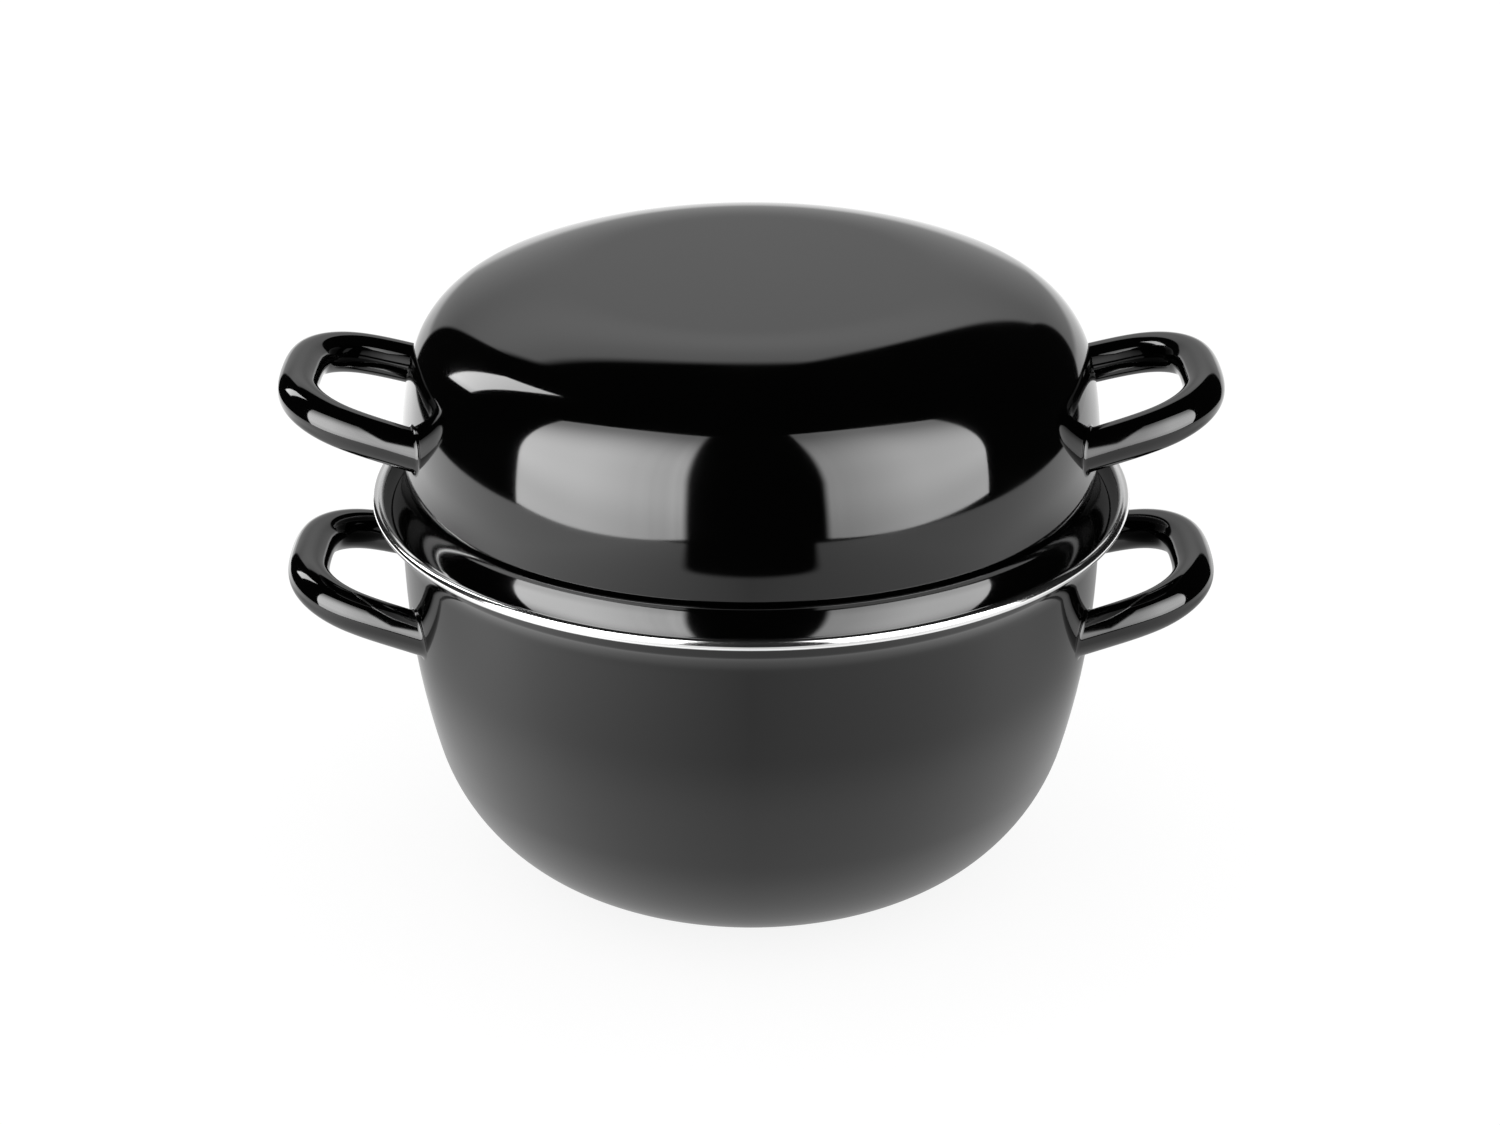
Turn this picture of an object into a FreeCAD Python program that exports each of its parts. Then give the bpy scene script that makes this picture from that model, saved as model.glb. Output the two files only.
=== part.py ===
import FreeCAD, Part
import math
import os

# A mussel pot with its lid on, in millimetres. +Z is up, the origin is the centre of
# the base, and the handles lie along X. Shell radii are those of the outer faces.
# Angles are in degrees. A profile is walked outwards from the axis.

# Pot shell: flat base, corner, belly and a wall that is almost upright at its top
pot_thickness = 1.4
pot_wall_radius = 101.6
base_corner_radius = 48.5
base_corner_angle = 45.0
belly_radius = 58.0
belly_angle = 30.0
wall_curve_radius = 232.0
wall_lean_angle = 2.0

# Mouth of the pot: a flare, a short cone that carries the lid, and a rolled edge
rim_height = 115.7
rim_overhang = 6.9
flare_radius = 12.0
seat_angle = 50.0
rolled_edge_radius = 1.2

# Steel band, clamped over the rolled edge
band_thickness = 0.5

# Lid shell: flat top, crown, shoulder and a side that draws in again below its middle
lid_thickness = 1.3
crown_radius = 85.7
crown_angle = 23.5
shoulder_radius = 27.0
shoulder_angle = 52.5
side_radius = 101.7
side_angle = 18.1

# Groove below the lid's side, and the flared rim that stands in the pot's mouth
groove_edge_radius = 2.0
groove_edge_angle = 17.9
groove_depth = 0.8
groove_radius = 3.5
groove_angle = 26.0
lid_rim_width = 3.8
lid_side_gap = 2.2
seat_gap = 0.1

# Handles: four equal loops of tube, welded to the walls at both ends
handle_tube_radius = 6.0
handle_tube_thickness = 1.5
leg_spacing = 64.5
leg_inward_angle = 5.5
bend_radius = 24.0
handle_reach = 28.2
handle_tilt_angle = 16.3
pot_handle_drop = 32.8
lid_handle_rise = 27.5


def sine(degrees):
    return math.sin(math.radians(degrees))


def cosine(degrees):
    return math.cos(math.radians(degrees))


def tangent(degrees):
    return math.tan(math.radians(degrees))


def moved(point, heading, distance):
    # A heading is measured from the outward direction towards +Z
    return (point[0] + distance * cosine(heading), point[1] + distance * sine(heading))


def vector(point):
    return FreeCAD.Vector(point[0], 0, point[1])


def segment(start, end):
    return Part.LineSegment(vector(start), vector(end)).toShape()


def arc(start, middle, end):
    return Part.Arc(vector(start), vector(middle), vector(end)).toShape()


def line(length):
    return {"length": length, "turn": 0}


def bend(radius, turn):
    # A positive turn bends to the left of the walk
    return {"radius": radius, "turn": turn}


def walk(start, heading, steps, offset=0):
    # Traces tangent lines and bends. An offset to the left gives a parallel profile.
    place = moved(start, heading + 90, offset)
    edges = []
    for step in steps:
        if step["turn"] == 0:
            end = moved(place, heading, step["length"])
            edges.append(segment(place, end))
        else:
            side = math.copysign(90, step["turn"])
            radius = step["radius"] - math.copysign(offset, offset * step["turn"])
            centre = moved(place, heading + side, radius)
            middle = moved(centre, heading + step["turn"] / 2 - side, radius)
            heading = heading + step["turn"]
            end = moved(centre, heading - side, radius)
            edges.append(arc(place, middle, end))
        place = end
    return edges, place, heading


def revolved(edges):
    wire = Part.Wire(Part.__sortEdges__(edges))
    axis_point = FreeCAD.Vector(0, 0, 0)
    axis = FreeCAD.Vector(0, 0, 1)
    return Part.Face(wire).revolve(axis_point, axis, 360)


def filled(edges, start, end):
    # The solid inside a shell's outer face, closed across its open end
    middle = (0, end[1])
    return revolved(edges + [segment(end, middle), segment(middle, start)])


# Pot

wall_heading = 90 - wall_lean_angle
rim_radius = pot_wall_radius + rim_overhang
rolled_edge_centre = (rim_radius, rim_height)


def pot_profile():
    corner_heading = base_corner_angle
    belly_heading = corner_heading + belly_angle
    bowl = [
        bend(base_corner_radius, corner_heading),
        bend(belly_radius, belly_angle),
        bend(wall_curve_radius, wall_heading - belly_heading),
    ]
    bowl_reach = walk((0, 0), 0, bowl)[1][0]
    bowl.insert(0, line(pot_wall_radius - bowl_reach))
    bowl_end = walk((0, 0), 0, bowl)[1]

    # The upright wall and the cone are as long as it takes to reach the rolled edge
    flare = bend(flare_radius, seat_angle - wall_heading)
    flare_end = walk(bowl_end, wall_heading, [flare])[1]
    goal = moved(rolled_edge_centre, seat_angle - 90, pot_thickness / 2)
    run = goal[0] - flare_end[0]
    rise = goal[1] - flare_end[1]
    between = sine(wall_heading - seat_angle)
    wall_length = (rise * cosine(seat_angle) - run * sine(seat_angle)) / between
    cone_length = (run * sine(wall_heading) - rise * cosine(wall_heading)) / between
    return bowl + [line(wall_length), flare, line(cone_length - neck_length(rolled_edge_radius))]


def neck_length(radius):
    # How far from its centre a round of this radius leaves the faces of the pot's sheet
    return math.sqrt(radius ** 2 - (pot_thickness / 2) ** 2)


def round_points(radius):
    # Where such a round meets the outer face, its far point, and the inner face
    neck = moved(rolled_edge_centre, seat_angle + 180, neck_length(radius))
    outer = moved(neck, seat_angle - 90, pot_thickness / 2)
    inner = moved(neck, seat_angle + 90, pot_thickness / 2)
    return outer, moved(rolled_edge_centre, seat_angle, radius), inner


def make_pot_body():
    steps = pot_profile()
    outer = walk((0, 0), 0, steps)[0]
    inner = walk((0, 0), 0, steps, pot_thickness)[0]
    rolled_edge = arc(*round_points(rolled_edge_radius))
    axis = segment((0, 0), (0, pot_thickness))
    return revolved(outer + [rolled_edge] + inner + [axis])


def make_rim_band():
    inside = round_points(rolled_edge_radius)
    outside = round_points(rolled_edge_radius + band_thickness)
    outer_lip = segment(inside[0], outside[0])
    inner_lip = segment(inside[2], outside[2])
    return revolved([arc(*inside), outer_lip, arc(*outside), inner_lip])


# Lid

band_inner_radius = rim_radius - rolled_edge_radius - band_thickness
lid_rim_radius = band_inner_radius - lid_side_gap
lid_wall_radius = lid_rim_radius - lid_rim_width


def lid_profile():
    dome = [
        bend(crown_radius, -crown_angle),
        bend(shoulder_radius, -shoulder_angle),
    ]
    dome_reach, dome_heading = walk((0, 0), 0, dome)[1][0], -crown_angle - shoulder_angle
    # The side is widest where it stands upright
    side_reach = side_radius * (1 - sine(-dome_heading))
    top_radius = lid_wall_radius - dome_reach - side_reach
    steps = [line(top_radius)] + dome + [
        bend(side_radius, -side_angle),
        bend(groove_edge_radius, -groove_edge_angle),
        line(groove_depth),
        bend(groove_radius, groove_angle),
    ]
    # The rim flares until its edge lies flat on the pot's cone
    groove_end, groove_heading = walk((0, 0), 0, steps)[1:]
    rim_heading = seat_angle - 90
    rim_run = sine(-groove_heading) - sine(-rim_heading)
    flare = (lid_rim_radius - groove_end[0]) / rim_run
    return steps + [bend(flare, rim_heading - groove_heading)]


def lid_top_height(steps):
    # The rim stands off the inner face of the pot's cone by the seat gap
    inner_face = pot_thickness / 2 + seat_gap
    on_cone = moved(rolled_edge_centre, seat_angle + 90, inner_face)
    rim_edge_height = on_cone[1] + (lid_rim_radius - on_cone[0]) * tangent(seat_angle)
    drop = walk((0, 0), 0, steps)[1][1]
    return rim_edge_height - drop


def make_lid_body():
    steps = lid_profile()
    top = (0, lid_top_height(steps))
    outer, outer_end, heading = walk(top, 0, steps)
    inner, inner_end, heading = walk(top, 0, steps, -lid_thickness)
    axis = segment(top, moved(top, -90, lid_thickness))
    return revolved(outer + [segment(outer_end, inner_end)] + inner + [axis])


# Handles

def handle_path(wall_radius, height):
    # Centre line of a loop at the +X side, from one weld round to the other. It lies
    # in a plane that rises away from the wall, and its legs draw together outwards.
    half_spacing = leg_spacing / 2
    root = math.sqrt(wall_radius ** 2 - half_spacing ** 2)
    outermost = pot_wall_radius + handle_reach
    depth = (outermost - root) / cosine(handle_tilt_angle)
    corner_offset = half_spacing - depth * tangent(leg_inward_angle)
    corner_turn = 90 - leg_inward_angle
    corner_length = bend_radius * tangent(corner_turn / 2)

    # The loop is drawn flat, as (distance from the weld, distance from the middle)
    buried = 2 * handle_tube_radius
    leg_start = (-buried, half_spacing + buried * tangent(leg_inward_angle))
    bend_start = (
        depth - corner_length * cosine(leg_inward_angle),
        corner_offset + corner_length * sine(leg_inward_angle),
    )
    bend_end = (depth, corner_offset - corner_length)
    bend_middle = (
        depth - bend_radius + bend_radius * cosine(corner_turn / 2),
        bend_end[1] + bend_radius * sine(corner_turn / 2),
    )

    def placed(flat_point, side):
        return FreeCAD.Vector(
            root + flat_point[0] * cosine(handle_tilt_angle),
            side * flat_point[1],
            height + flat_point[0] * sine(handle_tilt_angle),
        )

    curves = [
        Part.LineSegment(placed(leg_start, -1), placed(bend_start, -1)),
        Part.Arc(placed(bend_start, -1), placed(bend_middle, -1), placed(bend_end, -1)),
        Part.LineSegment(placed(bend_end, -1), placed(bend_end, 1)),
        Part.Arc(placed(bend_end, 1), placed(bend_middle, 1), placed(bend_start, 1)),
        Part.LineSegment(placed(bend_start, 1), placed(leg_start, 1)),
    ]
    return Part.Wire([curve.toShape() for curve in curves])


def swept_round(path, radius):
    start, following = path.OrderedVertexes[:2]
    direction = following.Point - start.Point
    section = Part.Wire(Part.makeCircle(radius, start.Point, direction))
    return path.makePipeShell([section], True, True)


def make_handle(wall_radius, height, wall):
    path = handle_path(wall_radius, height)
    bore = swept_round(path, handle_tube_radius - handle_tube_thickness)
    tube = swept_round(path, handle_tube_radius).cut(bore)
    return tube.cut(wall)


def make_pot_handle():
    steps = pot_profile()
    outer, end, heading = walk((0, 0), 0, steps)
    wall = filled(outer, (0, 0), end)
    return make_handle(pot_wall_radius, rim_height - pot_handle_drop, wall)


def make_lid_handle():
    steps = lid_profile()
    top = (0, lid_top_height(steps))
    outer, end, heading = walk(top, 0, steps)
    wall = filled(outer, top, end)
    return make_handle(lid_wall_radius, end[1] + lid_handle_rise, wall)


def mirrored(shape):
    return shape.mirror(FreeCAD.Vector(0, 0, 0), FreeCAD.Vector(1, 0, 0))


def make_nodes():
    pot_handle = make_pot_handle()
    lid_handle = make_lid_handle()
    return {
        "pot_body": make_pot_body(),
        "pot_rim_band": make_rim_band(),
        "pot_right_handle": pot_handle,
        "pot_left_handle": mirrored(pot_handle),
        "lid_body": make_lid_body(),
        "lid_right_handle": lid_handle,
        "lid_left_handle": mirrored(lid_handle),
    }


os.makedirs("parts", exist_ok=True)
for name, shape in make_nodes().items():
    shape.exportStep("parts/" + name + ".step")
    print(name, "solids:", len(shape.Solids), "volume in cubic mm:", round(shape.Volume))
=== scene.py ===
import math

import bmesh
import bpy
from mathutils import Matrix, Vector


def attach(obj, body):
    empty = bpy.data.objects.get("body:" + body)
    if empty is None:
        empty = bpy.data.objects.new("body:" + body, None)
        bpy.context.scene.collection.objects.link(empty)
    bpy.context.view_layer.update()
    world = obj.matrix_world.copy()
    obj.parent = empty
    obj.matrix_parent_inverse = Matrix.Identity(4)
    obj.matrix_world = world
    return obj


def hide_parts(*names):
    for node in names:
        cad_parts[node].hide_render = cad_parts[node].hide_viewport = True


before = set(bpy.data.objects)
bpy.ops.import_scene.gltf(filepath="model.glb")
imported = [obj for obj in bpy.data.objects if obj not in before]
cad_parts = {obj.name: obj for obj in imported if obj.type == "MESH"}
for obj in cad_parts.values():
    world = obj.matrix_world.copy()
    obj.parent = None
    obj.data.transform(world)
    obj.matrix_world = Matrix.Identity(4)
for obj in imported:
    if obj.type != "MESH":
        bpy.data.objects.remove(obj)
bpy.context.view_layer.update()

print("frame loaded:", ", ".join(sorted(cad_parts)))

# Lengths are in metres and angles in degrees. A profile is drawn in the XZ plane as a walk
# of lines and bends outwards from the axis, and a positive bend turns to its left.

meshDetail = {
    "aroundAxis": 192,
    "degreesPerStep": 1.6,
    "fewestBendSteps": 6,
    "longestStep": 0.0035,
    "aroundTube": 96,
    "degreesPerBendStep": 1.0,
    "weldSteps": 6,
    "lipSegments": 3,
    "mergeDistance": 0.000002,
    "smoothingAngle": 40.0,
}


def sine(angle):
    return math.sin(math.radians(angle))


def cosine(angle):
    return math.cos(math.radians(angle))


def tangent(angle):
    return math.tan(math.radians(angle))


def towards(heading, length):
    return Vector((cosine(heading), 0, sine(heading))) * length


def line(length):
    return {"length": length, "turn": 0}


def bend(radius, turn):
    return {"radius": radius, "turn": turn}


def endOf(place, heading, steps):
    # Where a walk ends, and its heading there
    place = Vector(place)
    for step in steps:
        if step["turn"] == 0:
            place = place + towards(heading, step["length"])
        else:
            side = math.copysign(90, step["turn"])
            centre = place + towards(heading + side, step["radius"])
            heading += step["turn"]
            place = centre + towards(heading - side, step["radius"])
    return place, heading


def backAlong(steps, offset):
    # The parallel walk, offset to the left, back to where the steps began
    back = []
    for step in reversed(steps):
        if step["turn"] == 0:
            back.append(line(step["length"]))
        else:
            radius = step["radius"] - math.copysign(1, step["turn"]) * offset
            back.append(bend(radius, -step["turn"]))
    return back


def startPoint(name, place):
    # A mesh of one vertex, in edit mode, ready to be drawn on
    bpy.ops.object.select_all(action="DESELECT")
    bpy.ops.mesh.primitive_plane_add(size=1, location=(0, 0, 0))
    piece = bpy.context.object
    piece.name = name
    piece.data.name = name
    bpy.ops.object.mode_set(mode="EDIT")
    bpy.ops.mesh.merge(type="CENTER")
    bpy.ops.transform.translate(value=place)
    return piece


def drawLine(heading, length):
    # Extrudes the selected vertex in short steps
    count = math.ceil(length / meshDetail["longestStep"])
    for part in range(count):
        move = towards(heading, length / count)
        bpy.ops.mesh.extrude_vertices_move(TRANSFORM_OT_translate={"value": move})


def drawBend(place, heading, step):
    side = math.copysign(90, step["turn"])
    centre = place + towards(heading + side, step["radius"])
    count = math.ceil(abs(step["turn"]) / meshDetail["degreesPerStep"])
    count = max(meshDetail["fewestBendSteps"], count)
    bpy.ops.mesh.spin(steps=count, angle=math.radians(step["turn"]), center=centre, axis=(0, 1, 0))


def draw(place, heading, steps):
    # Draws a walk from the selected vertex on
    for step in steps:
        after, nextHeading = endOf(place, heading, [step])
        if step["turn"] == 0:
            drawLine(heading, step["length"])
        else:
            drawBend(place, heading, step)
        place = after
        heading = nextHeading
    return place, heading


def smooth():
    bpy.ops.object.shade_smooth_by_angle(angle=math.radians(meshDetail["smoothingAngle"]))


def mergeAll():
    bpy.ops.mesh.select_all(action="SELECT")
    bpy.ops.mesh.remove_doubles(threshold=meshDetail["mergeDistance"])


def turnProfile():
    # Spins the drawn profile round the pot's axis into a closed shell
    mergeAll()
    bpy.ops.mesh.select_all(action="SELECT")
    bpy.ops.mesh.spin(steps=meshDetail["aroundAxis"], angle=math.tau, center=(0, 0, 0), axis=(0, 0, 1))
    mergeAll()
    bpy.ops.mesh.normals_make_consistent(inside=False)
    bpy.ops.object.mode_set(mode="OBJECT")
    smooth()


def softenEdges(piece, width):
    bevel = piece.modifiers.new("softEdges", "BEVEL")
    bevel.width = width
    bevel.segments = meshDetail["lipSegments"]
    bevel.limit_method = "ANGLE"
    bevel.angle_limit = math.radians(meshDetail["smoothingAngle"])
    bpy.ops.object.modifier_apply(modifier=bevel.name)
    smooth()


def shown(piece, node):
    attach(piece, "root")
    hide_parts(node)
    return piece


# Pot

potShape = {
    "thickness": 0.0014,
    "wallRadius": 0.1016,
    "cornerRadius": 0.0485,
    "cornerAngle": 45.0,
    "bellyRadius": 0.058,
    "bellyAngle": 30.0,
    "wallCurveRadius": 0.232,
    "wallLean": 2.0,
    "rimHeight": 0.1157,
    "rimOverhang": 0.0069,
    "flareRadius": 0.012,
    "seatAngle": 50.0,  # of the cone that carries the lid
    "rolledEdgeRadius": 0.0012,
}

seatAngle = potShape["seatAngle"]
rimRadius = potShape["wallRadius"] + potShape["rimOverhang"]
rimCentre = Vector((rimRadius, 0, potShape["rimHeight"]))


def neckLength(radius):
    # How far from its centre a round of this radius leaves the faces of the pot's sheet
    return math.sqrt(radius ** 2 - (potShape["thickness"] / 2) ** 2)


def potWalk():
    # The wall and the cone are as long as it takes to reach the rolled edge
    wallHeading = 90 - potShape["wallLean"]
    bowl = [
        bend(potShape["cornerRadius"], potShape["cornerAngle"]),
        bend(potShape["bellyRadius"], potShape["bellyAngle"]),
    ]
    turned = potShape["cornerAngle"] + potShape["bellyAngle"]
    bowl.append(bend(potShape["wallCurveRadius"], wallHeading - turned))
    reach = endOf((0, 0, 0), 0, bowl)[0].x
    bowl.insert(0, line(potShape["wallRadius"] - reach))
    bowlEnd = endOf((0, 0, 0), 0, bowl)[0]
    flare = bend(potShape["flareRadius"], seatAngle - wallHeading)
    flareEnd = endOf(bowlEnd, wallHeading, [flare])[0]
    goal = rimCentre + towards(seatAngle - 90, potShape["thickness"] / 2)
    gap = goal - flareEnd
    between = sine(wallHeading - seatAngle)
    wall = (gap.z * cosine(seatAngle) - gap.x * sine(seatAngle)) / between
    cone = (gap.x * sine(wallHeading) - gap.z * cosine(wallHeading)) / between
    return bowl + [line(wall), flare, line(cone - neckLength(potShape["rolledEdgeRadius"]))]


def edgeRound(radius):
    # The round from the sheet's outer face to its inner face, and the angle at which it
    # leaves the sheet
    spread = math.degrees(math.asin(potShape["thickness"] / 2 / radius))
    return spread, bend(radius, 360 - 2 * spread)


def makePot():
    steps = potWalk()
    start = Vector((0, 0, 0))
    piece = startPoint("potShell", start)
    place = draw(start, 0, steps)[0]
    spread, rolledEdge = edgeRound(potShape["rolledEdgeRadius"])
    place = draw(place, seatAngle - 90 + spread, [rolledEdge])[0]
    draw(place, seatAngle + 180, backAlong(steps, potShape["thickness"]))
    turnProfile()
    return shown(piece, "pot_body")


# Steel band, clamped over the rolled edge

bandShape = {
    "thickness": 0.0005,
    "lipRounding": 0.00012,
}


def makeBand():
    inside = potShape["rolledEdgeRadius"]
    outside = inside + bandShape["thickness"]
    innerSpread, innerRound = edgeRound(inside)
    outerSpread, outerRound = edgeRound(outside)
    lip = line(neckLength(outside) - neckLength(inside))
    start = rimCentre + towards(seatAngle + 180 + outerSpread, outside)
    piece = startPoint("potRimBand", start)
    place = draw(start, seatAngle - 90 + outerSpread, [outerRound])[0]
    place = draw(place, seatAngle, [lip])[0]
    backRound = bend(inside, -innerRound["turn"])
    place = draw(place, seatAngle + 90 - innerSpread, [backRound])[0]
    draw(place, seatAngle + 180, [lip])
    turnProfile()
    softenEdges(piece, bandShape["lipRounding"])
    return shown(piece, "pot_rim_band")


# Lid

lidShape = {
    "thickness": 0.0013,
    "crownRadius": 0.0857,
    "crownAngle": 23.5,
    "shoulderRadius": 0.027,
    "shoulderAngle": 52.5,
    "sideRadius": 0.1017,
    "sideAngle": 18.1,
    "grooveEdgeRadius": 0.002,
    "grooveEdgeAngle": 17.9,
    "grooveDepth": 0.0008,
    "grooveRadius": 0.0035,
    "grooveAngle": 26.0,
    "rimWidth": 0.0038,
    "sideGap": 0.0022,  # between the lid's rim and the steel band
    "seatGap": 0.0001,
    "edgeRounding": 0.0003,
}

bandInnerRadius = rimRadius - potShape["rolledEdgeRadius"] - bandShape["thickness"]
lidRimRadius = bandInnerRadius - lidShape["sideGap"]
lidWallRadius = lidRimRadius - lidShape["rimWidth"]


def lidWalk():
    # The rim flares until its edge lies flat on the pot's cone
    dome = [
        bend(lidShape["crownRadius"], -lidShape["crownAngle"]),
        bend(lidShape["shoulderRadius"], -lidShape["shoulderAngle"]),
    ]
    domeReach, domeHeading = endOf((0, 0, 0), 0, dome)
    sideReach = lidShape["sideRadius"] * (1 - sine(-domeHeading))
    topRadius = lidWallRadius - domeReach.x - sideReach
    steps = [line(topRadius)] + dome + [
        bend(lidShape["sideRadius"], -lidShape["sideAngle"]),
        bend(lidShape["grooveEdgeRadius"], -lidShape["grooveEdgeAngle"]),
        line(lidShape["grooveDepth"]),
        bend(lidShape["grooveRadius"], lidShape["grooveAngle"]),
    ]
    grooveEnd, grooveHeading = endOf((0, 0, 0), 0, steps)
    rimHeading = seatAngle - 90
    run = sine(-grooveHeading) - sine(-rimHeading)
    flare = (lidRimRadius - grooveEnd.x) / run
    return steps + [bend(flare, rimHeading - grooveHeading)]


def lidTop(steps):
    # The middle of the lid's top, with its rim just off the inner face of the cone
    onCone = rimCentre + towards(seatAngle + 90, potShape["thickness"] / 2 + lidShape["seatGap"])
    edgeHeight = onCone.z + (lidRimRadius - onCone.x) * tangent(seatAngle)
    return Vector((0, 0, edgeHeight - endOf((0, 0, 0), 0, steps)[0].z))


def makeLid():
    thickness = lidShape["thickness"]
    steps = lidWalk()
    top = lidTop(steps)
    piece = startPoint("lidShell", top)
    place, heading = draw(top, 0, steps)
    place, heading = draw(place, heading - 90, [line(thickness)])
    draw(place, heading - 90, backAlong(steps, -thickness))
    turnProfile()
    softenEdges(piece, lidShape["edgeRounding"])
    return shown(piece, "lid_body")


# Handles

handleShape = {
    "tubeRadius": 0.006,
    "legSpacing": 0.0645,
    "legAngle": 5.5,  # by which the legs draw together
    "bendRadius": 0.024,
    "easeRadii": (0.09, 0.042),  # the wider arcs that lead into and out of a bend
    "easeTurns": (4.0, 7.0),
    "reach": 0.0282,
    "tilt": 16.3,
    "potDrop": 0.0328,
    "lidRise": 0.0275,
    "clearOfWall": 0.0069,
    "weldRadius": 0.0012,
    "weldSink": 0.0005,
}


def bendArcs(turn):
    # The plain round bend, eased in and out by wider arcs so that highlights run smoothly
    # through it. Its middle stays where the plain bend has it.
    wide, middle = handleShape["easeRadii"]
    wideTurn, middleTurn = handleShape["easeTurns"]
    eased = wideTurn + middleTurn
    inset = wide - (wide - middle) * cosine(wideTurn)
    half = cosine(turn / 2)
    plain = handleShape["bendRadius"] * (1 - half)
    core = (plain - inset + middle * cosine(eased)) / (cosine(eased) - half)
    corner = (inset - (middle - core) * cosine(eased)) / half
    length = corner * sine(turn / 2) + (wide - middle) * sine(wideTurn) + (middle - core) * sine(eased)
    arcs = [(wide, wideTurn), (middle, middleTurn)]
    return arcs + [(core, turn - 2 * eased)] + arcs[::-1], length


def loopMeasures(wallRadius):
    # How far along the axis the legs meet the wall, the bends, and the straight lengths
    half = handleShape["legSpacing"] / 2
    root = math.sqrt(wallRadius ** 2 - half ** 2)
    outermost = potShape["wallRadius"] + handleShape["reach"]
    depth = (outermost - root) / cosine(handleShape["tilt"])
    arcs, cornerLength = bendArcs(90 - handleShape["legAngle"])
    legLength = depth / cosine(handleShape["legAngle"]) - cornerLength
    barLength = 2 * (half - depth * tangent(handleShape["legAngle"]) - cornerLength)
    return root, arcs, legLength, barLength


def extrudeTube(place, direction, length):
    # Draws the selected ring out in short steps
    count = math.ceil(length / meshDetail["longestStep"])
    for part in range(count):
        move = direction * length / count
        bpy.ops.mesh.extrude_region_move(TRANSFORM_OT_translate={"value": move})
    return place + direction * length


def bendTube(place, direction, arcs):
    # Spins the selected ring through each arc, to the left of its way
    for radius, turn in arcs:
        inwards = Vector((-direction.y, direction.x, 0))
        centre = place + inwards * radius
        steps = math.ceil(turn / meshDetail["degreesPerBendStep"])
        bpy.ops.mesh.spin(steps=steps, angle=-math.radians(turn), center=centre, axis=(0, 0, 1))
        place = centre - inwards * radius * cosine(turn) + direction * radius * sine(turn)
        direction = direction * cosine(turn) + inwards * sine(turn)
    return place, direction


def drawLoop(name, wallRadius, height):
    # The tube drawn flat, then tilted and moved to the wall. Its legs start clear of the
    # wall, and weldLeg closes the gap.
    root, arcs, legLength, barLength = loopMeasures(wallRadius)
    legAngle = handleShape["legAngle"]
    clear = handleShape["clearOfWall"]
    outwards = Vector((cosine(legAngle), sine(legAngle), 0))
    start = Vector((0, -handleShape["legSpacing"] / 2, 0)) + outwards * clear
    bpy.ops.object.select_all(action="DESELECT")
    bpy.ops.mesh.primitive_circle_add(
        vertices=meshDetail["aroundTube"],
        radius=handleShape["tubeRadius"],
        location=start,
        rotation=(0, math.radians(90), math.radians(legAngle)),
    )
    piece = bpy.context.object
    piece.name = name
    piece.data.name = name
    bpy.ops.object.transform_apply(location=True, rotation=True, scale=True)
    bpy.ops.object.mode_set(mode="EDIT")
    bpy.ops.mesh.select_all(action="SELECT")
    place = extrudeTube(start, outwards, legLength - clear)
    direction = outwards
    for length in (barLength, legLength - clear):
        place, direction = bendTube(place, direction, arcs)
        place = extrudeTube(place, direction, length)
    bpy.ops.object.mode_set(mode="OBJECT")
    piece.rotation_euler = (0, -math.radians(handleShape["tilt"]), 0)
    piece.location = (root, 0, height)
    bpy.ops.object.transform_apply(location=True, rotation=True, scale=True)
    return piece


def weldRings(leg, inwards, wall):
    # Rings of points from the leg's open end down onto the wall and a little into it,
    # with a small round weld in the corner. The wall is found by casting rays at it.
    radius = handleShape["weldRadius"]
    middle = sum(leg, Vector()) / len(leg)
    columns = []
    for point in leg:
        found, hit, normal = wall.ray_cast(point, inwards)[:3]
        if not found:
            raise ValueError("a handle's leg misses the wall")
        aside = point - middle
        along = (aside - normal * aside.dot(normal)).normalized()
        onLeg = hit - inwards * radius
        onWall = hit + along * radius
        column = []
        for step in range(meshDetail["weldSteps"] + 1):
            share = step / meshDetail["weldSteps"]
            column.append(onLeg * (1 - share) ** 2 + hit * 2 * share * (1 - share) + onWall * share ** 2)
        column.append(onWall - normal * handleShape["weldSink"])
        columns.append(column)
    return [list(ring) for ring in zip(*columns)]


def orderedLoop(edges):
    # The edges' vertices in order round the loop
    remaining = list(edges)
    loop = [remaining[0].verts[0]]
    while remaining:
        edge = next(edge for edge in remaining if loop[-1] in edge.verts)
        remaining.remove(edge)
        if remaining:
            loop.append(edge.other_vert(loop[-1]))
    return loop


def weldLeg(piece, wall, side):
    # Adds the rings to one leg, which is the one on this side of the handle
    mesh = bmesh.new()
    mesh.from_mesh(piece.data)
    openEdges = [edge for edge in mesh.edges if edge.is_boundary]
    ring = orderedLoop([edge for edge in openEdges if edge.verts[0].co.y * side > 0])
    beside = next(edge for edge in ring[0].link_edges if not edge.is_boundary)
    inwards = (ring[0].co - beside.other_vert(ring[0]).co).normalized()
    for points in weldRings([vertex.co.copy() for vertex in ring], inwards, wall):
        following = [mesh.verts.new(point) for point in points]
        for index in range(len(ring)):
            after = (index + 1) % len(ring)
            mesh.faces.new((ring[index], ring[after], following[after], following[index]))
        ring = following
    mesh.faces.new(ring)
    bmesh.ops.recalc_face_normals(mesh, faces=mesh.faces)
    mesh.to_mesh(piece.data)
    mesh.free()


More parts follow.
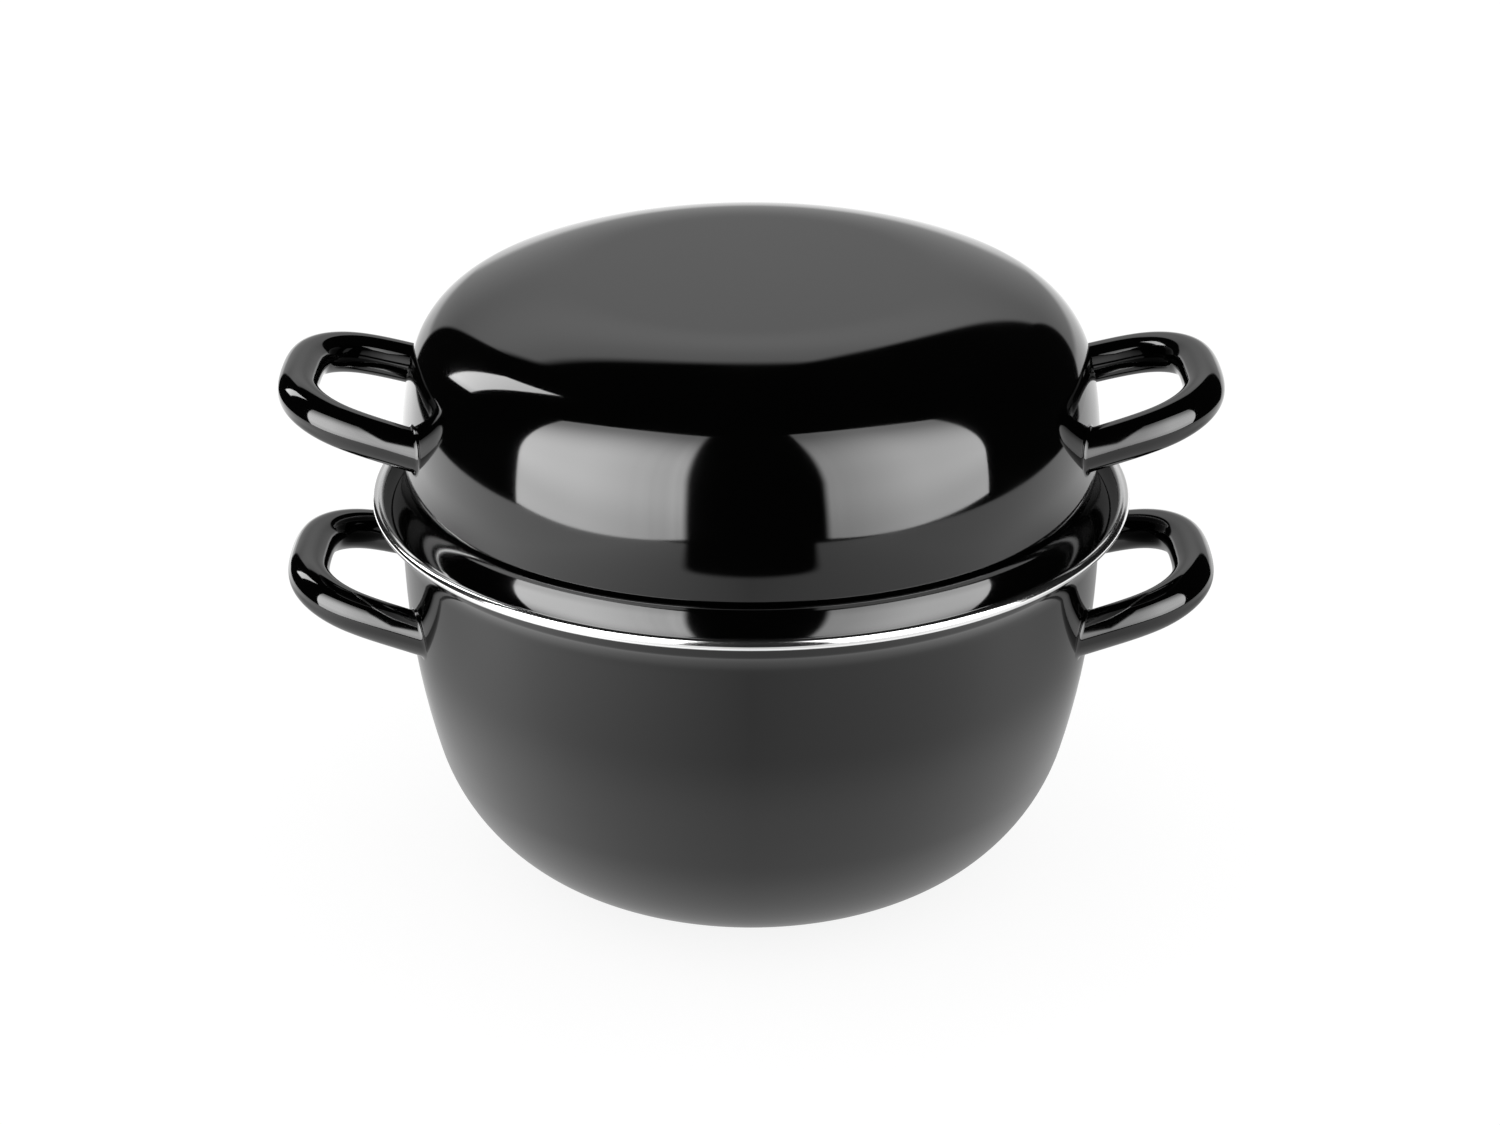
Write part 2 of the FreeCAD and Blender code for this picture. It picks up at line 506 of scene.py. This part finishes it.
def makeHandles(part, wall, wallRadius, height):
    right = drawLoop(part + "HandleRight", wallRadius, height)
    for side in (-1, 1):
        weldLeg(right, wall, side)
    smooth()

    bpy.ops.object.duplicate()
    left = bpy.context.object
    left.name = part + "HandleLeft"
    left.data.name = left.name
    left.scale = (-1, 1, 1)
    bpy.ops.object.transform_apply(location=True, rotation=True, scale=True)
    bpy.ops.object.mode_set(mode="EDIT")
    bpy.ops.mesh.select_all(action="SELECT")
    bpy.ops.mesh.normals_make_consistent(inside=False)
    bpy.ops.object.mode_set(mode="OBJECT")
    shown(right, part + "_right_handle")
    shown(left, part + "_left_handle")
    return [right, left]


pot = makePot()
print("pot shell turned:", len(pot.data.polygons), "faces")
band = makeBand()
print("rim band turned:", len(band.data.polygons), "faces")
lid = makeLid()
print("lid turned:", len(lid.data.polygons), "faces")
potHandleHeight = potShape["rimHeight"] - handleShape["potDrop"]
potHandles = makeHandles("pot", pot, potShape["wallRadius"], potHandleHeight)
lidEdge = endOf(lidTop(lidWalk()), 0, lidWalk())[0]
lidHandles = makeHandles("lid", lid, lidWallRadius, lidEdge.z + handleShape["lidRise"])
print("handles bent and welded")


# Shader nodes

def emptyMaterial(name):
    material = bpy.data.materials.new(name)
    material.use_nodes = True
    material.node_tree.nodes.clear()
    return material, material.node_tree


def addNode(tree, kind, **values):
    node = tree.nodes.new(kind)
    for key, value in values.items():
        setattr(node, key, value)
    return node


def mathNode(tree, operation, first, second=None, third=None):
    # Each operand is a socket or a number
    node = addNode(tree, "ShaderNodeMath", operation=operation)
    for index, value in enumerate((first, second, third)):
        if isinstance(value, bpy.types.NodeSocket):
            tree.links.new(value, node.inputs[index])
        elif value is not None:
            node.inputs[index].default_value = value
    return node.outputs[0]


def ramp(tree, value, fromMin, fromMax, toMin, toMax, kind="SMOOTHSTEP"):
    node = addNode(tree, "ShaderNodeMapRange", interpolation_type=kind)
    tree.links.new(value, node.inputs["Value"])
    node.inputs["From Min"].default_value = fromMin
    node.inputs["From Max"].default_value = fromMax
    node.inputs["To Min"].default_value = toMin
    node.inputs["To Max"].default_value = toMax
    return node.outputs["Result"]


def placeSockets(tree, kind):
    # The sockets X, Y and Z of a place
    place = addNode(tree, "ShaderNodeTexCoord")
    parts = addNode(tree, "ShaderNodeSeparateXYZ")
    tree.links.new(place.outputs[kind], parts.inputs[0])
    return parts.outputs


def distance(tree, x, y):
    squares = mathNode(tree, "ADD", mathNode(tree, "POWER", x, 2), mathNode(tree, "POWER", y, 2))
    return mathNode(tree, "SQRT", squares)


def dress(piece, material):
    piece.data.materials.clear()
    piece.data.materials.append(material)


# Materials

reliefDetail = {
    "Wave": 1.0,
    "Grain": 3.0,
}

enamelFinish = {
    "colour": (0.0005, 0.0005, 0.0005, 1),
    "roughness": 0.06,
    "roughnessVariation": 0.03,
    "patchFrom": 0.3,  # the part of the waves' range over which the roughness varies
    "patchTo": 0.7,
    "indexOfRefraction": 1.5,
    "waveSize": 0.02,
    "waveDepth": 0.00001,
    "grainSize": 0.0016,
    "grainDepth": 0.0000006,
}

steelFinish = {
    "colour": (0.8, 0.8, 0.8, 1),
    "metallic": 1,
    "roughness": 0.12,
    "waveSize": 0.01,
    "waveDepth": 0,
    "grainSize": 0.0006,
    "grainDepth": 0.0000015,
}


def surfaceRelief():
    # A height that changes over a surface: slow waves and a fine grain
    group = bpy.data.node_groups.new("surfaceRelief", "ShaderNodeTree")
    for name in reliefDetail:
        group.interface.new_socket(name + " Size", in_out="INPUT", socket_type="NodeSocketFloat")
        group.interface.new_socket(name + " Depth", in_out="INPUT", socket_type="NodeSocketFloat")
    group.interface.new_socket("Height", in_out="OUTPUT", socket_type="NodeSocketFloat")
    group.interface.new_socket("Mask", in_out="OUTPUT", socket_type="NodeSocketFloat")
    inputs = addNode(group, "NodeGroupInput")
    outputs = addNode(group, "NodeGroupOutput")
    place = addNode(group, "ShaderNodeTexCoord")
    patterns = {}
    heights = {}
    for name, detail in reliefDetail.items():
        noise = addNode(group, "ShaderNodeTexNoise")
        noise.inputs["Detail"].default_value = detail
        group.links.new(place.outputs["Object"], noise.inputs["Vector"])
        scale = mathNode(group, "DIVIDE", 1, inputs.outputs[name + " Size"])
        group.links.new(scale, noise.inputs["Scale"])
        patterns[name] = noise.outputs["Fac"]
        heights[name] = mathNode(group, "MULTIPLY", patterns[name], inputs.outputs[name + " Depth"])
    total = mathNode(group, "ADD", heights["Wave"], heights["Grain"])
    group.links.new(total, outputs.inputs["Height"])
    group.links.new(patterns["Wave"], outputs.inputs["Mask"])
    return group


def placeRelief(tree, group, finish):
    relief = addNode(tree, "ShaderNodeGroup", node_tree=group)
    relief.inputs["Wave Size"].default_value = finish["waveSize"]
    relief.inputs["Wave Depth"].default_value = finish["waveDepth"]
    relief.inputs["Grain Size"].default_value = finish["grainSize"]
    relief.inputs["Grain Depth"].default_value = finish["grainDepth"]
    bump = addNode(tree, "ShaderNodeBump")
    bump.inputs["Distance"].default_value = 1
    tree.links.new(relief.outputs["Height"], bump.inputs["Height"])
    return relief, bump


def blackEnamel(group):
    # Its roughness varies a little with the waves
    material, tree = emptyMaterial("blackEnamel")
    finish = enamelFinish
    output = addNode(tree, "ShaderNodeOutputMaterial")
    shader = addNode(tree, "ShaderNodeBsdfPrincipled")
    shader.inputs["Base Color"].default_value = finish["colour"]
    shader.inputs["IOR"].default_value = finish["indexOfRefraction"]
    relief, bump = placeRelief(tree, group, finish)
    smoothest = finish["roughness"] - finish["roughnessVariation"] / 2
    roughest = finish["roughness"] + finish["roughnessVariation"] / 2
    mask = relief.outputs["Mask"]
    roughness = ramp(tree, mask, finish["patchFrom"], finish["patchTo"], smoothest, roughest, "LINEAR")
    tree.links.new(roughness, shader.inputs["Roughness"])
    tree.links.new(bump.outputs["Normal"], shader.inputs["Normal"])
    tree.links.new(shader.outputs["BSDF"], output.inputs["Surface"])
    return material


def polishedSteel(group):
    material, tree = emptyMaterial("polishedSteel")
    finish = steelFinish
    output = addNode(tree, "ShaderNodeOutputMaterial")
    shader = addNode(tree, "ShaderNodeBsdfPrincipled")
    shader.inputs["Base Color"].default_value = finish["colour"]
    shader.inputs["Metallic"].default_value = finish["metallic"]
    shader.inputs["Roughness"].default_value = finish["roughness"]
    bump = placeRelief(tree, group, finish)[1]
    tree.links.new(bump.outputs["Normal"], shader.inputs["Normal"])
    tree.links.new(shader.outputs["BSDF"], output.inputs["Surface"])
    return material


relief = surfaceRelief()
enamel = blackEnamel(relief)
steel = polishedSteel(relief)
for piece in [pot, lid] + potHandles + lidHandles:
    dress(piece, enamel)
dress(band, steel)
for name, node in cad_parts.items():
    dress(node, steel if name == "pot_rim_band" else enamel)
print("materials made")


# Studio: a white table and backdrop. Only reflections see the panels of light, and where
# the table and the backdrop end.

camera = {
    "distance": 1.0,
    "elevation": 24.3,
    "targetHeight": 0.09053,
    "aside": -0.0003,
    "lens": 81.2,
    "sensor": 36.0,
    "farthest": 50,
}


def addCamera():
    data = bpy.data.cameras.new("camera")
    item = bpy.data.objects.new("camera", data)
    bpy.context.scene.collection.objects.link(item)
    data.sensor_width = camera["sensor"]
    data.lens = camera["lens"]
    data.clip_end = camera["farthest"]
    item.location = (
        camera["aside"],
        -camera["distance"] * cosine(camera["elevation"]),
        camera["targetHeight"] + camera["distance"] * sine(camera["elevation"]),
    )
    item.rotation_euler = (math.radians(90 - camera["elevation"]), 0, 0)
    bpy.context.scene.camera = item


# Table. The camera sees it white with a faint shadow. Reflections see other levels of it,
# painted light and shade, within a round edge and outside the gap between the two front panels.

table = {
    "size": 6.0,
    "paint": (0.97, 0.97, 0.97, 1),
    "whiteLevel": 1.1,
    "shadowShare": 0.2,
    # painted shadow of the pot under it, seen only in reflections
    "shadowUnderPot": {"behind": 0.03, "from": 0.07, "to": 0.13, "level": 0.2},
    "nearPot": {"from": 0.14, "to": 0.2, "level": 1.05},
    "farLevel": 0.75,
    "sideWidth": 0.35,
    "leftGain": 1.15,
    "rightGain": 0.5,
    # painted shadow of the pot behind it, seen only in reflections
    "shadowBehindPot": {"from": -0.1, "to": 0.07, "share": 0.52, "radius": 0.26, "fadeTo": 0.42},
    "edgeRadius": 0.66,
    "edgeSoftness": 0.012,
    "gapStart": 0.385,
    "gapSpread": 0.34,
    "gapRounding": 0.05,
    "gapSoftness": 0.025,
}


def tableLevel(tree, x, y, away):
    # How bright reflections find the table, as painted light and shade: a painted shadow makes it
    # darker under the pot and behind the pot, and painted light leaves it darker in the middle
    # painted shadow under the pot, rising to the painted light near it
    under = table["shadowUnderPot"]
    near = table["nearPot"]
    fromUnder = distance(tree, x, mathNode(tree, "SUBTRACT", y, under["behind"]))
    rise = ramp(tree, fromUnder, under["from"], under["to"], under["level"], near["level"])
    fall = ramp(tree, away, near["from"], near["to"], 0, table["farLevel"] - near["level"])
    left = ramp(tree, x, -table["sideWidth"], 0, table["leftGain"], 0, "LINEAR")
    right = ramp(tree, x, 0, table["sideWidth"], 0, table["rightGain"], "LINEAR")
    level = mathNode(tree, "ADD", mathNode(tree, "ADD", rise, fall), mathNode(tree, "ADD", left, right))
    # painted shadow behind the pot, fading out away from it
    behind = table["shadowBehindPot"]
    back = ramp(tree, y, behind["from"], behind["to"], 0, behind["share"])
    close = ramp(tree, away, behind["radius"], behind["fadeTo"], 1, 0)
    paintedShadow = mathNode(tree, "MULTIPLY", back, close)
    return mathNode(tree, "MULTIPLY", level, mathNode(tree, "SUBTRACT", 1, paintedShadow))


def tableReach(tree, x, y, away):
    # One where reflections find the table, nought beyond its edge and in the gap
    radius = table["edgeRadius"]
    inside = ramp(tree, away, radius - table["edgeSoftness"], radius + table["edgeSoftness"], 1, 0)
    forwards = mathNode(tree, "MULTIPLY", y, -1)
    beyond = mathNode(tree, "SUBTRACT", forwards, table["gapStart"])
    halfGap = mathNode(tree, "MULTIPLY", forwards, table["gapSpread"])
    between = mathNode(tree, "SUBTRACT", halfGap, mathNode(tree, "ABSOLUTE", x))
    gap = mathNode(tree, "SMOOTH_MIN", beyond, between, table["gapRounding"])
    soft = table["gapSoftness"] / 2
    outside = ramp(tree, gap, -soft, soft, 1, 0)
    return mathNode(tree, "MULTIPLY", inside, outside)


def mixed(tree, share, first, second):
    # The share is a socket or a number, and the others are shaders
    mix = addNode(tree, "ShaderNodeMixShader")
    if isinstance(share, bpy.types.NodeSocket):
        tree.links.new(share, mix.inputs["Fac"])
    else:
        mix.inputs["Fac"].default_value = share
    tree.links.new(first.outputs[0], mix.inputs[1])
    tree.links.new(second.outputs[0], mix.inputs[2])
    return mix


def addTable():
    bpy.ops.object.select_all(action="DESELECT")
    bpy.ops.mesh.primitive_plane_add(size=table["size"], location=(0, 0, 0))
    floor = bpy.context.object
    floor.name = "whiteTable"
    material, tree = emptyMaterial("whiteTable")
    output = addNode(tree, "ShaderNodeOutputMaterial")
    white = addNode(tree, "ShaderNodeEmission")
    white.inputs["Strength"].default_value = table["whiteLevel"]
    lit = addNode(tree, "ShaderNodeBsdfDiffuse")
    lit.inputs["Color"].default_value = table["paint"]
    seen = mixed(tree, table["shadowShare"], white, lit)

    place = placeSockets(tree, "Object")
    x = place["X"]
    y = place["Y"]
    away = distance(tree, x, y)
    mirrored = addNode(tree, "ShaderNodeEmission")
    tree.links.new(tableLevel(tree, x, y, away), mirrored.inputs["Strength"])
    clear = addNode(tree, "ShaderNodeBsdfTransparent")
    ending = mixed(tree, tableReach(tree, x, y, away), clear, mirrored)

    rays = addNode(tree, "ShaderNodeLightPath").outputs
    reflected = mathNode(tree, "MAXIMUM", rays["Is Glossy Ray"], rays["Is Transmission Ray"])
    surface = mixed(tree, reflected, seen, ending)
    tree.links.new(surface.outputs[0], output.inputs["Surface"])
    dress(floor, material)


# Panels of light, which only reflections see. Each starts at its inner edge, on the pot's
# side, and runs outwards from there, to a bottom corner that drops a little. The lean moves
# its inner edge for each metre up.

panels = {
    "leftPanel": {
        "facing": -20.0,
        "outwards": -1,
        "innerEdge": (-0.117, -0.39),
        "width": 0.59,
        "bottom": 0.072,
        "outerDrop": 0.075,
        "top": 0.71,
        "innerLevel": 8.3,
        "outerLevel": 11.2,
        "riseWidth": 0.27,
        "fadeFrom": 0.285,
        "fadeTo": 0.67,
        "topShare": 0.3,
        "foldShare": 0.25,
        "lean": 0.0,
    },
    "rightPanel": {
        "facing": 20.0,
        "outwards": 1,
        "innerEdge": (0.122, -0.387),
        "width": 0.6,
        "bottom": 0.074,
        "outerDrop": 0.055,
        "top": 0.775,
        "innerLevel": 5.4,
        "outerLevel": 8.8,
        "riseWidth": 0.25,
        "fadeFrom": 0.285,
        "fadeTo": 0.71,
        "topShare": 0.35,
        "foldShare": 0.08,
        "lean": 0.05,
    },
    "sideLamp": {
        "facing": -55.0,
        "outwards": -1,
        "innerEdge": (-0.91, 0.27),
        "width": 0.7,
        "bottom": 0.5,
        "outerDrop": 0.0,
        "top": 1.4,
        "innerLevel": 8.5,
        "outerLevel": 8.5,
        "riseWidth": 0.5,
        "fadeFrom": 1.5,
        "fadeTo": 2.5,
        "topShare": 0.5,
        "foldShare": 0.0,
        "lean": 0.1,
    },
}

panelEdge = {
    "softness": 0.018,
    "foldSize": 0.022,
    "foldReach": 0.16,
    "footReach": 0.09,
    "footShare": 0.8,
}


def panelLevel(tree, panel, height):
    # Brighter away from the inner edge, fading towards the top and the foot, with soft
    # upright folds near the inner edge
    place = placeSockets(tree, "Object")
    lean = mathNode(tree, "MULTIPLY", place["Y"], panel["lean"])
    fromMiddle = mathNode(tree, "MULTIPLY", place["X"], panel["outwards"])
    fromEdge = mathNode(tree, "ADD", mathNode(tree, "ADD", fromMiddle, panel["width"] / 2), lean)
    upwards = mathNode(tree, "ADD", place["Y"], panel["bottom"] + height / 2)
    level = ramp(tree, fromEdge, 0, panel["riseWidth"], panel["innerLevel"], panel["outerLevel"])

    folds = addNode(tree, "ShaderNodeTexNoise", noise_dimensions="1D")
    folds.inputs["Scale"].default_value = 1 / panelEdge["foldSize"]
    tree.links.new(fromEdge, folds.inputs["W"])
    swing = ramp(tree, folds.outputs["Fac"], 0, 1, -1, 1, "LINEAR")
    foldDepth = ramp(tree, fromEdge, 0, panelEdge["foldReach"], panel["foldShare"], 0)
    footEnd = panel["bottom"] + panelEdge["footReach"]
    shares = [
        mathNode(tree, "MULTIPLY_ADD", swing, foldDepth, 1),
        ramp(tree, upwards, panel["fadeFrom"], panel["fadeTo"], 1, panel["topShare"]),
        ramp(tree, upwards, panel["bottom"], footEnd, panelEdge["footShare"], 1),
        ramp(tree, fromEdge, 0, panelEdge["softness"], 0, 1),
        ramp(tree, fromEdge, panel["width"] - panelEdge["softness"], panel["width"], 1, 0),
    ]
    for share in shares:
        level = mathNode(tree, "MULTIPLY", level, share)
    return level


def addPanel(name, panel):
    facing = panel["facing"]
    height = panel["top"] - panel["bottom"]
    reach = panel["outwards"] * panel["width"] / 2
    place = (
        panel["innerEdge"][0] + cosine(facing) * reach,
        panel["innerEdge"][1] + sine(facing) * reach,
        panel["bottom"] + height / 2,
    )
    upright = (math.radians(90), 0, math.radians(facing))
    bpy.ops.object.select_all(action="DESELECT")
    bpy.ops.mesh.primitive_plane_add(size=1, location=place, rotation=upright)
    card = bpy.context.object
    card.name = name
    card.scale = (panel["width"], height, 1)
    bpy.ops.object.transform_apply(location=False, rotation=False, scale=True)
    for corner in card.data.vertices:
        if corner.co.x * panel["outwards"] > 0 and corner.co.y < 0:
            corner.co.y -= panel["outerDrop"]
    card.visible_camera = False
    card.visible_diffuse = False
    card.visible_shadow = False
    material, tree = emptyMaterial(name)
    output = addNode(tree, "ShaderNodeOutputMaterial")
    glow = addNode(tree, "ShaderNodeEmission")
    tree.links.new(panelLevel(tree, panel, height), glow.inputs["Strength"])
    tree.links.new(glow.outputs[0], output.inputs["Surface"])
    dress(card, material)


# Backdrop. It stands behind the pot in reflections, where all the rest of the room is dark.

backdrop = {
    "plainLevel": 1.0,
    "darkLevel": 0.008,
    "middleLevel": 0.74,
    "topGain": 0.68,
    "topGainFrom": 0.3,
    "topGainTo": 0.62,
    "footGain": 0.7,
    "footSoftness": 0.05,
    "top": 47.5,
    "topSoftness": 0.05,
    "leftSpread": 0.577,
    "rightSpread": 0.82,
    "rightSlant": 0.96,
    "sideSoftness": 0.02,
}


def backdropReach(tree, x, y, z):
    # One within the backdrop's edges, of which the right one slants
    softness = backdrop["topSoftness"]
    topEdge = mathNode(tree, "MULTIPLY", y, tangent(backdrop["top"]))
    below = ramp(tree, mathNode(tree, "SUBTRACT", z, topEdge), -softness, softness, 1, 0)
    soft = backdrop["sideSoftness"]
    leftLimit = mathNode(tree, "MULTIPLY", y, backdrop["leftSpread"])
    left = ramp(tree, mathNode(tree, "ADD", x, leftLimit), -soft, soft, 0, 1)
    rightSpread = mathNode(tree, "MULTIPLY_ADD", z, -backdrop["rightSlant"], backdrop["rightSpread"])
    rightLimit = mathNode(tree, "MULTIPLY", rightSpread, y)
    right = ramp(tree, mathNode(tree, "SUBTRACT", rightLimit, x), -soft, soft, 0, 1)
    return mathNode(tree, "MULTIPLY", below, mathNode(tree, "MULTIPLY", left, right))


def backdropLevel(tree):
    # Brighter towards its top and at its foot
    place = placeSockets(tree, "Generated")
    z = place["Z"]
    middle = backdrop["middleLevel"]
    brightest = middle + backdrop["topGain"]
    upper = ramp(tree, z, backdrop["topGainFrom"], backdrop["topGainTo"], middle, brightest)
    foot = ramp(tree, z, -backdrop["footSoftness"], backdrop["footSoftness"], backdrop["footGain"], 0)
    seen = backdropReach(tree, place["X"], place["Y"], z)
    level = mathNode(tree, "MULTIPLY", seen, mathNode(tree, "ADD", upper, foot))
    return mathNode(tree, "MAXIMUM", level, backdrop["darkLevel"])


def paintWorld():
    # Plain white for the camera and for lighting, and the studio in reflections
    world = bpy.data.worlds.new("studio")
    bpy.context.scene.world = world
    world.use_nodes = True
    tree = world.node_tree
    tree.nodes.clear()
    output = addNode(tree, "ShaderNodeOutputWorld")
    rays = addNode(tree, "ShaderNodeLightPath")
    level = addNode(tree, "ShaderNodeMix", data_type="FLOAT")
    level.inputs["A"].default_value = backdrop["plainLevel"]
    tree.links.new(rays.outputs["Is Glossy Ray"], level.inputs["Factor"])
    tree.links.new(backdropLevel(tree), level.inputs["B"])
    glow = addNode(tree, "ShaderNodeBackground")
    tree.links.new(level.outputs["Result"], glow.inputs["Strength"])
    tree.links.new(glow.outputs[0], output.inputs["Surface"])


addCamera()
addTable()
for name, panel in panels.items():
    addPanel(name, panel)
paintWorld()
bpy.context.scene.view_settings.view_transform = "Standard"
print("studio set up")
